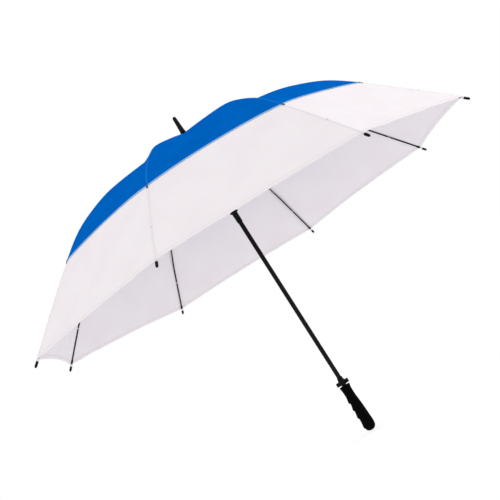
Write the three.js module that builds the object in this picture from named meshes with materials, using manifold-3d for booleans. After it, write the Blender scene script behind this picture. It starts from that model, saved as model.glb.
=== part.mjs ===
// Vented golf umbrella, open. Millimetres, +Z along the shaft towards the ferrule.
// The origin is on the shaft axis, in the middle of the grip.
import * as THREE from "three";
import { mergeVertices } from "three/addons/utils/BufferGeometryUtils.js";
import Module from "manifold-3d";

const wasm = await Module();
wasm.setup();

// ---- Driving dimensions ----
const RIBS = 8;
const SPAN = 650; // shaft axis to rib tip
const RIM_Z = 494.5; // height of the rib tips above the middle of the grip
const GRIP_LENGTH = 130;
const SHAFT_R = 6;
const SHAFT_WALL = 1.2;
const RUNNING_GAP = 0.4; // radial play of whatever slides on the shaft
const TOUCH_GAP = 0.3;

// The ridge over each rib: share of the span outwards, share of the span above the tips.
const RIDGE = [
  [0.02, 0.532],
  [0.2, 0.499],
  [0.4, 0.456],
  [0.5, 0.418],
  [0.6, 0.364],
  [0.7, 0.283],
  [0.85, 0.143],
  [1.0, 0.0],
].map(([r, z]) => [r * SPAN, RIM_Z + z * SPAN]);

const FABRIC = 1; // the canopy's solid thickness, measured along Z
const UPPER_HEM = 0.7 * SPAN; // the vent's hem
const LOWER_TOP = 0.64 * SPAN; // the lower canopy's inner edge, hidden under the vent
const LOWER_HEM = 0.976 * SPAN;
const VENT_GAP = 4.5; // the upper canopy's height over the lower one at the vent
const VENT_END = 0.78 * SPAN;
const UPPER_SAG = 0.026 * SPAN; // how far the upper canopy dips between two ribs
const LOWER_SAG = 0.006 * SPAN;
const UPPER_SCALLOP = 8; // how far the hems curve in between two ribs
const LOWER_SCALLOP = 10;
const CANOPY_START = 8;
const PANEL_GAP = 0.5; // between neighbouring panels, at the seam over a rib

const RIB = 3.2; // rib section, square
const RIB_DROP = 4.4; // rib centreline under the ridge
const VENT_DROP = 5.5; // and how much further under the vent
const PIVOT_R = 10.5; // ring of hinges at the crown
const EYE_R = 2.6;
const WIRE_R = 0.8;
const WIRE_HOLE_R = 1.3;
const LUG_AT = 0.5 * SPAN; // where the stretchers meet the ribs
const LUG_DROP = 5;
const LUG_R = 3;
const PIN_R = 1;
const PIN_HOLE_R = 1.4;
const FLEX_AT = 0.7 * SPAN; // where the bending of a rib is gathered into a hinge

const STRETCHER_WIDTH = 5.6;
const STRETCHER_DEPTH = 3.6;
const FORK_GAP = 4;
const FORK_LENGTH = 9;

const TIP_LENGTH = 16;
const TIP_R = 3.3;
const TIP_BORE_R = 2.6;
const TIP_BORE_DEPTH = 10;

const RING_R = 14; // stretcher ends round the runner
const RING_Z = RIM_Z + 0.215 * SPAN;
const RUNNER_FLOOR_Z = RIM_Z + 0.104 * SPAN;
const RUNNER_FLANGE_Z = RIM_Z + 0.153 * SPAN;
const RUNNER_SLEEVE_R = 8;
const RUNNER_FLANGE_R = 11.5;
const RUNNER_NECK_R = 9.5;
const RUNNER_HEAD_R = 15.5;
const RUNNER_HEAD_HEIGHT = 12;
const RUNNER_TRAVEL = 446; // open to furled, along the shaft
const KEYWAY_R = 7.45;
const KEYWAY_WIDTH = 3.4;

const CATCH_R = 7.1;
const CATCH_HEIGHT = 12.5;
const CATCH_WIDTH = 2.4;

const NOTCH_R = 13.5;
const NOTCH_HEIGHT = 8;
const NOTCH_SLOT = 4;
const FERRULE_Z = RIM_Z + 0.539 * SPAN;
const FERRULE_TIP_Z = RIM_Z + 0.615 * SPAN;
const SHAFT_TOP_Z = FERRULE_Z + 8.5;
const SHAFT_FOOT_Z = -40;

const COLLAR_Z = GRIP_LENGTH / 2 + 2.5;
const COLLAR_WING_HEIGHT = 12;
const COLLAR_WING_SPAN = 34;
const COLLAR_WING_DEPTH = 9;
const COLLAR_CONE_HEIGHT = 10;

const STRAP_LENGTH = 190;
const STRAP_WIDTH = 20;
const STRAP_RIB = 2;

const { smoothstep, lerp, degToRad } = THREE.MathUtils;
const HALF_STEP = Math.PI / RIBS;

// ---- Materials ----
const material = (name, color, roughness, metalness = 0) =>
  Object.assign(new THREE.MeshStandardMaterial({ color, roughness, metalness }), { name });
const FINISH = {
  blue: () => material("blue canopy", 0x0163bb, 0.8),
  white: () => material("white canopy", 0xf3eef2, 0.8),
  pole: () => material("black pole", 0x1c1c1e, 0.25, 0.6),
  rib: () => material("black rib", 0x151517, 0.35, 0.3),
  plastic: () => material("black plastic", 0x121213, 0.45),
  rubber: () => material("grip rubber", 0x0e0c0d, 0.7),
  steel: () => material("steel wire", 0xb8bac0, 0.3, 1),
};

// ---- Solids ----
function solidOf(geometry) {
  const bare = geometry.index ? geometry.toNonIndexed() : geometry.clone();
  bare.deleteAttribute("normal");
  bare.deleteAttribute("uv");
  const merged = mergeVertices(bare, 1e-4);
  const vertProperties = Float32Array.from(merged.attributes.position.array);
  const triVerts = Uint32Array.from(merged.index.array);
  return new wasm.Manifold(new wasm.Mesh({ numProp: 3, vertProperties, triVerts }));
}

function geometryOf(solid) {
  const { numProp, vertProperties, triVerts } = solid.getMesh();
  const geometry = new THREE.BufferGeometry();
  const positions = new Float32Array((vertProperties.length / numProp) * 3);
  for (let i = 0; i * numProp < vertProperties.length; i++) {
    positions.set(vertProperties.subarray(i * numProp, i * numProp + 3), i * 3);
  }
  geometry.setAttribute("position", new THREE.BufferAttribute(positions, 3));
  geometry.setIndex(new THREE.BufferAttribute(Uint32Array.from(triVerts), 1));
  geometry.computeVertexNormals();
  return geometry;
}

const joined = (...geometries) => geometries.map(solidOf).reduce((a, b) => a.add(b));
const cut = (solid, ...geometries) =>
  geometries.map(solidOf).reduce((a, b) => a.subtract(b), solid);

// A lathe about +Z, from (radius, height) pairs.
function turned(pairs, segments) {
  const points = pairs.map(([r, z]) => new THREE.Vector2(r, z));
  return new THREE.LatheGeometry(points, segments).rotateX(Math.PI / 2);
}

const tube = (inner, outer, low, high, segments) =>
  turned([[inner, low], [outer, low], [outer, high], [inner, high], [inner, low]], segments);

// A flat outline in a rib's own plane, (radius, height), given a thickness across the plane.
function plate(outline, thickness) {
  const shape = new THREE.Shape(outline.map(([r, z]) => new THREE.Vector2(r, z)));
  return new THREE.ExtrudeGeometry(shape, { depth: thickness, bevelEnabled: false })
    .rotateX(Math.PI / 2)
    .translate(0, thickness / 2, 0);
}

// A round pin across a rib's plane.
const pin = ([r, z], radius, length, segments = 10) =>
  new THREE.CylinderGeometry(radius, radius, length, segments).translate(r, 0, z);

const block = (x, y, z, sx, sy, sz) => new THREE.BoxGeometry(sx, sy, sz).translate(x, y, z);

// ---- The umbrella's curves ----
function ridgeSlope(i) {
  const [r0, z0] = RIDGE[Math.max(i - 1, 0)];
  const [r1, z1] = RIDGE[Math.min(i + 1, RIDGE.length - 1)];
  return (z1 - z0) / (r1 - r0);
}

// A cubic through the ridge's points.
function ridgeHeight(r) {
  let i = 0;
  while (i < RIDGE.length - 2 && r > RIDGE[i + 1][0]) i++;
  const [r0, z0] = RIDGE[i];
  const [r1, z1] = RIDGE[i + 1];
  const step = r1 - r0;
  const u = (r - r0) / step;
  const [rise0, rise1] = [ridgeSlope(i) * step, ridgeSlope(i + 1) * step];
  return (
    (2 * u ** 3 - 3 * u ** 2 + 1) * z0 +
    (u ** 3 - 2 * u ** 2 + u) * rise0 +
    (3 * u ** 2 - 2 * u ** 3) * z1 +
    (u ** 3 - u ** 2) * rise1
  );
}

const ventGap = (r) => VENT_GAP * (1 - smoothstep(r, UPPER_HEM, VENT_END));

function ribHeight(r) {
  const under = smoothstep(r, 0.25 * SPAN, 0.6 * SPAN) - smoothstep(r, 0.72 * SPAN, 0.8 * SPAN);
  return ridgeHeight(r) - RIB_DROP - VENT_DROP * under;
}

const PIVOT = [PIVOT_R, ribHeight(20)];
const LUG = [LUG_AT, ribHeight(LUG_AT) - LUG_DROP];
const FLEX = [FLEX_AT, ribHeight(FLEX_AT)];
const RING = [RING_R, RING_Z];
const TIP_ANGLE = Math.atan2(ribHeight(SPAN) - ribHeight(SPAN - 15), 15);
const TIP_END = [SPAN, ribHeight(SPAN)];
const alongTip = (back, side = 0) => [
  TIP_END[0] - back * Math.cos(TIP_ANGLE) - side * Math.sin(TIP_ANGLE),
  TIP_END[1] - back * Math.sin(TIP_ANGLE) + side * Math.cos(TIP_ANGLE),
];

// The outline of a bar of the given depth along a line of points.
function barOutline(points, depth) {
  const sides = [1, -1].map((side) =>
    points.map(([r, z], i) => {
      const [ra, za] = points[Math.max(i - 1, 0)];
      const [rb, zb] = points[Math.min(i + 1, points.length - 1)];
      const length = Math.hypot(rb - ra, zb - za);
      const [nr, nz] = [(za - zb) / length, (rb - ra) / length];
      return [r + (side * nr * depth) / 2, z + (side * nz * depth) / 2];
    }),
  );
  return [...sides[1], ...sides[0].reverse()];
}

function ribPoints(from, to, count) {
  return Array.from({ length: count + 1 }, (_, i) => {
    const r = lerp(from, to, i / count);
    return [r, ribHeight(r)];
  });
}

// ---- Ribs, stretchers and tips ----
function mainRib() {
  const setBack = RIB / 2 + TOUCH_GAP;
  const line = [PIVOT, ...ribPoints(26, FLEX_AT - setBack * 0.75, 11)];
  const body = joined(
    plate(barOutline(line, RIB), RIB),
    pin(PIVOT, EYE_R, RIB),
    plate(barOutline([[LUG_AT, ribHeight(LUG_AT)], LUG], 2 * LUG_R), RIB),
    pin(LUG, LUG_R, RIB),
  );
  return cut(body, pin(PIVOT, WIRE_HOLE_R, 2 * RIB), pin(LUG, PIN_HOLE_R, 2 * RIB));
}

function flexRib() {
  const line = [...ribPoints(FLEX_AT, SPAN - 24, 6), alongTip(TIP_LENGTH - TIP_BORE_DEPTH + 1)];
  return joined(plate(barOutline(line, RIB), RIB), pin(FLEX, RIB / 2, RIB));
}

function stretcher() {
  const body = joined(
    plate(barOutline([RING, LUG], STRETCHER_DEPTH), STRETCHER_WIDTH),
    pin(RING, STRETCHER_DEPTH / 2, STRETCHER_WIDTH),
    pin(LUG, STRETCHER_DEPTH / 2 + 0.6, STRETCHER_WIDTH),
  );
  const angle = Math.atan2(LUG[1] - RING[1], LUG[0] - RING[0]);
  const fork = new THREE.BoxGeometry(2 * FORK_LENGTH, FORK_GAP, 4 * LUG_R)
    .rotateY(-angle)
    .translate(LUG[0], 0, LUG[1]);
  return cut(body, fork).add(solidOf(pin(LUG, PIN_R, STRETCHER_WIDTH - 0.6)));
}

function ribTip() {
  const mouth = TIP_BORE_DEPTH - TIP_LENGTH;
  const profile = [
    [0, mouth],
    [TIP_BORE_R, mouth],
    [TIP_BORE_R, -TIP_LENGTH],
    [TIP_R, -TIP_LENGTH],
    [TIP_R, -4],
    [2.9, -1.4],
    [1.7, -0.3],
    [0, 0],
  ];
  return turned(profile, 8)
    .rotateY(Math.PI / 2 - TIP_ANGLE)
    .translate(TIP_END[0], 0, TIP_END[1]);
}

// ---- Canopy ----
// A point of the panel from one rib to the next. across runs from -1 on the first rib to 1 on the
// second, and the panel dips between them.
function canopyPoint(r, across, height, sag) {
  const width = r * Math.sin(HALF_STEP);
  const reach = across * Math.max(1 - PANEL_GAP / 2 / width, 0);
  const dip = sag * (1 - reach ** 2);
  const lean = Math.atan2(ridgeHeight(r + 1) - ridgeHeight(r - 1), 2);
  const out = r * Math.cos(HALF_STEP) + dip * Math.sin(lean);
  const x = out * Math.cos(HALF_STEP) - width * reach * Math.sin(HALF_STEP);
  const y = out * Math.sin(HALF_STEP) + width * reach * Math.cos(HALF_STEP);
  return [x, y, height - dip * Math.cos(lean)];
}

// A closed sheet from its inner edge to a hem that curves in between the ribs.
function canopyPanel({ start, hem, scallop, height, sag }, rows, columns) {
  const positions = [];
  const index = [];
  for (const layer of [0, 1]) {
    for (let i = 0; i <= rows; i++) {
      for (let j = 0; j <= columns; j++) {
        const across = (2 * j) / columns - 1;
        const edge = hem - scallop * (1 - across ** 2);
        const r = lerp(start, edge, i / rows);
        const [x, y, z] = canopyPoint(r, across, height(r), sag(r));
        positions.push(x, y, z - layer * FABRIC);
      }
    }
  }
  const wide = columns + 1;
  const under = wide * (rows + 1);
  const at = (i, j, layer) => layer * under + i * wide + j;
  const quad = (a, b, c, d) => index.push(a, b, c, a, c, d);
  for (let i = 0; i < rows; i++) {
    for (let j = 0; j < columns; j++) {
      quad(at(i, j, 0), at(i + 1, j, 0), at(i + 1, j + 1, 0), at(i, j + 1, 0));
      quad(at(i, j, 1), at(i, j + 1, 1), at(i + 1, j + 1, 1), at(i + 1, j, 1));
    }
  }
  for (let j = 0; j < columns; j++) {
    quad(at(0, j, 1), at(0, j, 0), at(0, j + 1, 0), at(0, j + 1, 1));
    quad(at(rows, j, 0), at(rows, j, 1), at(rows, j + 1, 1), at(rows, j + 1, 0));
  }
  for (let i = 0; i < rows; i++) {
    quad(at(i, 0, 0), at(i, 0, 1), at(i + 1, 0, 1), at(i + 1, 0, 0));
    quad(at(i, columns, 1), at(i, columns, 0), at(i + 1, columns, 0), at(i + 1, columns, 1));
  }
  const geometry = new THREE.BufferGeometry();
  geometry.setAttribute("position", new THREE.Float32BufferAttribute(positions, 3));
  geometry.setIndex(index);
  geometry.computeVertexNormals();
  return geometry;
}

const UPPER = {
  start: CANOPY_START,
  hem: UPPER_HEM,
  scallop: UPPER_SCALLOP,
  height: ridgeHeight,
  sag: (r) => 4 * UPPER_SAG * (r / UPPER_HEM) * Math.max(1 - r / UPPER_HEM, 0),
};
const LOWER = {
  start: LOWER_TOP,
  hem: LOWER_HEM,
  scallop: LOWER_SCALLOP,
  height: (r) => ridgeHeight(r) - ventGap(r),
  sag: () => LOWER_SAG,
};

// The tie strap lies flat on the outside of the lower canopy, over one rib.
function tieStrap() {
  const start = LOWER_TOP + 70;
  const lift = 1.6;
  const points = Array.from({ length: 7 }, (_, i) => {
    const r = start + (i / 6) * STRAP_LENGTH * 0.72;
    return [r, LOWER.height(r) + lift];
  });
  return plate(barOutline(points, 1), STRAP_WIDTH);
}

// ---- Pole, crown and ferrule ----
function catchOutline(top) {
  const low = top - CATCH_HEIGHT;
  return [
    [3.4, low],
    [SHAFT_R - 0.4, low],
    [CATCH_R, top - 1.5],
    [CATCH_R, top],
    [3.4, top],
  ];
}
const CATCH_TOPS = [RUNNER_FLOOR_Z - 0.4, RUNNER_FLOOR_Z - RUNNER_TRAVEL + 16];
const catchBlade = (top) =>
  plate(catchOutline(top), CATCH_WIDTH).rotateZ(Math.PI / 2);

function shaft() {
  const pole = solidOf(tube(SHAFT_R - SHAFT_WALL, SHAFT_R, SHAFT_FOOT_Z, SHAFT_TOP_Z, 24));
  const slots = CATCH_TOPS.map((top) =>
    block(0, SHAFT_R, top - CATCH_HEIGHT / 2, CATCH_WIDTH + 0.8, SHAFT_R, CATCH_HEIGHT + 0.8),
  );
  return cut(pole, ...slots);
}

function crownNotch() {
  const top = PIVOT[1] + 1.6;
  const low = top - NOTCH_HEIGHT;
  const body = solidOf(tube(SHAFT_R + TOUCH_GAP, NOTCH_R, low, top, 32));
  const slots = Array.from({ length: RIBS }, (_, k) =>
    block(7.2 + 5, 0, low, 10, NOTCH_SLOT, 4 * NOTCH_HEIGHT).rotateZ(2 * HALF_STEP * k),
  );
  const groove = tube(PIVOT_R - 1.2, PIVOT_R + 1.2, PIVOT[1] - 1.2, top + 1, 32);
  return cut(body, ...slots, groove);
}

const crownRingWire = () =>
  new THREE.TorusGeometry(PIVOT_R, WIRE_R, 6, 24).translate(0, 0, PIVOT[1]);

const canopyWasher = () => {
  const low = ridgeHeight(CANOPY_START) + 0.5;
  const bore = SHAFT_R + TOUCH_GAP;
  return turned([[bore, low], [11, low], [11.5, low + 0.6], [bore, low + 1.8], [bore, low]], 32);
};

function ferrule() {
  const bore = SHAFT_R + TOUCH_GAP;
  const roof = SHAFT_TOP_Z + TOUCH_GAP;
  return turned(
    [
      [0, roof],
      [bore, roof],
      [bore, FERRULE_Z],
      [7.6, FERRULE_Z],
      [7.6, FERRULE_Z + 4],
      [7.2, FERRULE_Z + 4.6],
      [5.1, FERRULE_TIP_Z - 6],
      [4.5, FERRULE_TIP_Z - 2.6],
      [2.8, FERRULE_TIP_Z - 0.6],
      [0, FERRULE_TIP_Z],
    ],
    24,
  );
}

// ---- Runner and catches ----
function runner() {
  const bore = SHAFT_R + RUNNING_GAP;
  const headTop = RING_Z + RUNNER_HEAD_HEIGHT / 2;
  const headLow = RING_Z - RUNNER_HEAD_HEIGHT / 2;
  const body = solidOf(
    turned(
      [
        [bore, RUNNER_FLOOR_Z],
        [RUNNER_SLEEVE_R, RUNNER_FLOOR_Z],
        [RUNNER_SLEEVE_R, RUNNER_FLANGE_Z - 3],
        [RUNNER_FLANGE_R, RUNNER_FLANGE_Z - 1.5],
        [RUNNER_FLANGE_R, RUNNER_FLANGE_Z + 1.5],
        [RUNNER_NECK_R, RUNNER_FLANGE_Z + 3],
        [RUNNER_NECK_R, headLow - 5],
        [RUNNER_HEAD_R, headLow],
        [RUNNER_HEAD_R, headTop - 2],
        [RUNNER_HEAD_R - 2, headTop],
        [bore, headTop],
        [bore, RUNNER_FLOOR_Z],
      ],
      32,
    ),
  );
  const slotFloor = RUNNER_FLANGE_R + 0.3;
  const slots = Array.from({ length: RIBS }, (_, k) =>
    block(slotFloor + 5, 0, RING_Z, 10, STRETCHER_WIDTH + 0.8, 4 * RUNNER_HEAD_HEIGHT)
      .rotateZ(2 * HALF_STEP * k),
  );
  const keyway = block(0, KEYWAY_R / 2, RING_Z, KEYWAY_WIDTH, KEYWAY_R, 400);
  return cut(body, ...slots, keyway);
}

function releaseCollar() {
  const [half, mid] = [COLLAR_WING_SPAN / 2, COLLAR_Z + COLLAR_WING_HEIGHT / 2];
  const top = COLLAR_Z + COLLAR_WING_HEIGHT;
  const wings = plate(
    [
      [-half, COLLAR_Z + 2.5],
      [-half + 2.5, COLLAR_Z],
      [half - 2.5, COLLAR_Z],
      [half, COLLAR_Z + 2.5],
      [half, mid + 1],
      [half - 3, top],
      [-half + 3, top],
      [-half, mid + 1],
    ],
    COLLAR_WING_DEPTH,
  );
  const core = turned(
    [[0, COLLAR_Z], [9.5, COLLAR_Z], [9.5, top], [7, top + COLLAR_CONE_HEIGHT],
      [0, top + COLLAR_CONE_HEIGHT]],
    24,
  );
  const bore = tube(0, SHAFT_R + RUNNING_GAP, COLLAR_Z - 5, top + 20, 24);
  return cut(joined(wings, core), bore);
}

// ---- Grip ----
// Half-width of the grip at a depth below its top, and the finger swells on its front (-X).
const GRIP_PROFILE = [
  [0, 12.5],
  [1.5, 14.3],
  [11, 12.6],
  [27, 12.2],
  [44, 13.3],
  [72, 15],
  [112, 15.9],
  [122, 14.6],
  [128, 10.5],
  [GRIP_LENGTH, 6.5],
];
const FINGER_CUSPS = [42.5, 64, 85.5, 116];
const CUSP_HEIGHT = 2.4;

function gripHalfWidth(depth) {
  const i = Math.max(GRIP_PROFILE.findIndex(([d]) => d >= depth), 1);
  const [[d0, w0], [d1, w1]] = [GRIP_PROFILE[i - 1], GRIP_PROFILE[i]];
  return lerp(w0, w1, (depth - d0) / (d1 - d0));
}

// Each swell rises slowly and falls away quickly, as between two fingers.
function fingerSwell(depth) {
  const rises = FINGER_CUSPS.map((cusp) =>
    depth <= cusp ? Math.max(1 - (cusp - depth) / 15, 0) ** 2 : Math.max(1 - (depth - cusp) / 5, 0),
  );
  return CUSP_HEIGHT * Math.max(...rises) - 0.6;
}

function grip() {
  const depths = new Set([...GRIP_PROFILE.map(([d]) => d), ...FINGER_CUSPS]);
  for (let d = 20; d < 120; d += 5) depths.add(d);
  for (const cusp of FINGER_CUSPS) depths.add(cusp + 5);
  const outside = [...depths].sort((a, b) => a - b);
  const top = GRIP_LENGTH / 2;
  const bore = SHAFT_R + TOUCH_GAP;
  const floor = SHAFT_FOOT_Z - TOUCH_GAP;
  const profile = [
    [0, -top],
    ...outside.map((d) => [gripHalfWidth(d), top - d]).reverse(),
    [bore, top],
    [bore, floor],
    [0, floor],
  ];
  const shell = turned(profile, 20);
  const position = shell.attributes.position;
  for (let i = 0; i < position.count; i++) {
    const [x, y, z] = [position.getX(i), position.getY(i), position.getZ(i)];
    const radius = Math.hypot(x, y);
    if (radius < bore + 1 || top - z > 125) continue;
    const front = Math.max(-x / radius, 0) ** 1.5;
    const scale = 1 + (front * fingerSwell(top - z) * smoothstep(top - z, 2, 12)) / radius;
    position.setXY(i, x * scale, y * scale);
  }
  return shell;
}

// ---- Assembly ----
const umbrella = new THREE.Group();

function add(name, solid, finish, parent = umbrella) {
  const geometry = solid.isBufferGeometry ? solid : geometryOf(solid);
  const mesh = new THREE.Mesh(geometry, FINISH[finish]());
  mesh.name = name;
  parent.add(mesh);
}

add("shaft", shaft(), "pole");
add("ferrule", ferrule(), "plastic");
add("canopy_washer", canopyWasher(), "plastic");
add("crown_notch", crownNotch(), "plastic");
add("crown_ring_wire", crownRingWire(), "steel");
add("runner", runner(), "plastic");
add("top_catch", catchBlade(CATCH_TOPS[0]), "steel");
add("bottom_catch", catchBlade(CATCH_TOPS[1]), "steel");
add("release_collar", releaseCollar(), "plastic");
add("grip", grip(), "rubber");

const repeated = {
  main_rib: [mainRib(), "rib"],
  flex_rib: [flexRib(), "rib"],
  stretcher: [stretcher(), "rib"],
  rib_tip: [ribTip(), "plastic"],
  upper_canopy: [canopyPanel(UPPER, 10, 6), "blue"],
  lower_canopy: [canopyPanel(LOWER, 6, 8), "white"],
};
for (let k = 0; k < RIBS; k++) {
  const spoke = new THREE.Group();
  spoke.rotation.z = 2 * HALF_STEP * k;
  for (const [name, [solid, finish]] of Object.entries(repeated)) {
    add(`${name}_${k + 1}`, solid, finish, spoke);
  }
  if (k === STRAP_RIB) add("tie_strap", tieStrap(), "white", spoke);
  umbrella.add(spoke);
}

export default umbrella;
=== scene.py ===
"""A vented golf umbrella, open. Metres, +Z along the shaft, origin in the middle of the grip."""
import math

import bpy
from mathutils import Matrix, Vector, noise


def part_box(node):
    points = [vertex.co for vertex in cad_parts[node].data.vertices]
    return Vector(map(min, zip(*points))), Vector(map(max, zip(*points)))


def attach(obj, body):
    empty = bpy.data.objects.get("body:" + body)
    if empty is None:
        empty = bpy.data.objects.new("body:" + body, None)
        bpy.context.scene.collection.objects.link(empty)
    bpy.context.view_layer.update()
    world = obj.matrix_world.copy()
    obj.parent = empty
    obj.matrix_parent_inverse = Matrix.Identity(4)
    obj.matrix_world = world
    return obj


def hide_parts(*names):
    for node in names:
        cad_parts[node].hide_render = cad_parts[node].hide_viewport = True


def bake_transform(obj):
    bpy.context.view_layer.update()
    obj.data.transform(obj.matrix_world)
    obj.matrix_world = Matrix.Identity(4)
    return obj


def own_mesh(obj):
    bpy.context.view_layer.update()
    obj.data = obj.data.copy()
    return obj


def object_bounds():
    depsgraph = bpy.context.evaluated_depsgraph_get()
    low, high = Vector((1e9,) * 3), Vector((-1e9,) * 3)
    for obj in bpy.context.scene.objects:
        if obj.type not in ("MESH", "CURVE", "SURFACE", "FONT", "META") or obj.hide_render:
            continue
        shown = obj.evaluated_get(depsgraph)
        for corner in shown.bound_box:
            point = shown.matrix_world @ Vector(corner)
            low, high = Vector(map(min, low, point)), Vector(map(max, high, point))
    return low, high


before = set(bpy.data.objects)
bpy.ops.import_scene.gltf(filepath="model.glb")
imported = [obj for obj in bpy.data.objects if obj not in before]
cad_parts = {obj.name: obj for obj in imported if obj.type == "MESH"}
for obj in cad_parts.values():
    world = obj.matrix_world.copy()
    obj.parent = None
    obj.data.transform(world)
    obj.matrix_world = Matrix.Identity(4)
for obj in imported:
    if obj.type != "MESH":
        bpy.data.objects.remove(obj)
cad_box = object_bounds()

# ---- Driving dimensions: the frame's as in the CAD model, the hems and the vent after the photo ----
RIBS = 8
HALF_STEP = math.pi / RIBS
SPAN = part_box("rib_tip_1")[1].x
RIM_Z = 0.4945
RIDGE = [
    (r * SPAN, RIM_Z + z * SPAN)
    for r, z in [
        (0.02, 0.532), (0.2, 0.499), (0.4, 0.456), (0.5, 0.418),
        (0.6, 0.364), (0.7, 0.283), (0.85, 0.143), (1.0, 0.0),
    ]
]
UPPER_HEM = 0.7 * SPAN
LOWER_TOP = 0.64 * SPAN
LOWER_HEM = 0.982 * SPAN
VENT_END = 0.78 * SPAN
VENT_GAP = 0.0018  # between the blue hem and the white cloth, at a rib
UPPER_SAG = 0.026 * SPAN
LOWER_SAG = 0.006 * SPAN
UPPER_SCALLOP = 0.015  # how far the hem draws in, midway between ribs
LOWER_SCALLOP = 0.007
MEAN_SCALLOP = 0.67  # mean of that curve, as a share of its depth
CANOPY_START = 0.008
RIB = 0.0032
RIB_DROP = 0.0044  # from the canopy to a rib's centreline
VENT_DROP = 0.0055  # and this much more under the vent
PIVOT_R = 0.0105
LUG_AT = 0.5 * SPAN
LUG_DROP = 0.005
FLEX_AT = 0.7 * SPAN
TIP_LENGTH = 0.016
TIP_MOUTH = 0.0006  # the cuff goes this far into the tip
STOP_START, STOP_END = 0.963 * SPAN, 0.974 * SPAN  # sleeve on the rib, before the cuff
CUFF_START = 0.975 * SPAN
UPPER_TIE_AT = 0.30 * SPAN
OUTER_TIE_AT = 0.86 * SPAN
RING_R = 0.014
RING_Z = RIM_Z + 0.215 * SPAN
FLANGE_Z = RIM_Z + 0.153 * SPAN
SHAFT_R = 0.006
SHAFT_BORE = 0.0048
RIB_BEND = 0.014  # half the length of rib that takes the bend


def smoothstep(x, low, high):
    t = min(max((x - low) / (high - low), 0.0), 1.0)
    return t * t * (3 - 2 * t)


def lerp(a, b, t):
    return a + (b - a) * t


def ridge_slope(i):
    (r0, z0), (r1, z1) = RIDGE[max(i - 1, 0)], RIDGE[min(i + 1, len(RIDGE) - 1)]
    return (z1 - z0) / (r1 - r0)


def ridge(r):
    """Height of the canopy over a rib: a cubic through the ridge's points."""
    i = 0
    while i < len(RIDGE) - 2 and r > RIDGE[i + 1][0]:
        i += 1
    (r0, z0), (r1, z1) = RIDGE[i], RIDGE[i + 1]
    u = (r - r0) / (r1 - r0)
    rise0, rise1 = ridge_slope(i) * (r1 - r0), ridge_slope(i + 1) * (r1 - r0)
    return (
        (2 * u**3 - 3 * u**2 + 1) * z0
        + (u**3 - 2 * u**2 + u) * rise0
        + (3 * u**2 - 2 * u**3) * z1
        + (u**3 - u**2) * rise1
    )


def ridge_lean(r):
    return math.atan2(ridge(r + 0.001) - ridge(r - 0.001), 0.002)


def rib_height(r):
    """Height of a rib's centreline. Ribs run lower under the vent."""
    under = smoothstep(r, 0.25 * SPAN, 0.6 * SPAN) - smoothstep(r, 0.72 * SPAN, 0.8 * SPAN)
    return ridge(r) - RIB_DROP - VENT_DROP * under


# Pivots in a rib's plane, as (radius, height)
PIVOT = (PIVOT_R, rib_height(0.020))
LUG = (LUG_AT, rib_height(LUG_AT) - LUG_DROP)
RING = (RING_R, RING_Z)
TIP_END = (SPAN, rib_height(SPAN))
TIP_ANGLE = math.atan2(rib_height(SPAN) - rib_height(SPAN - 0.015), 0.015)


# ---- Materials ----
def linear(r, g, b):
    """An sRGB colour, 0 to 255, as linear light."""
    shares = [c / 255 for c in (r, g, b)]
    light = (s / 12.92 if s <= 0.04045 else ((s + 0.055) / 1.055) ** 2.4 for s in shares)
    return (*light, 1.0)


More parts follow.
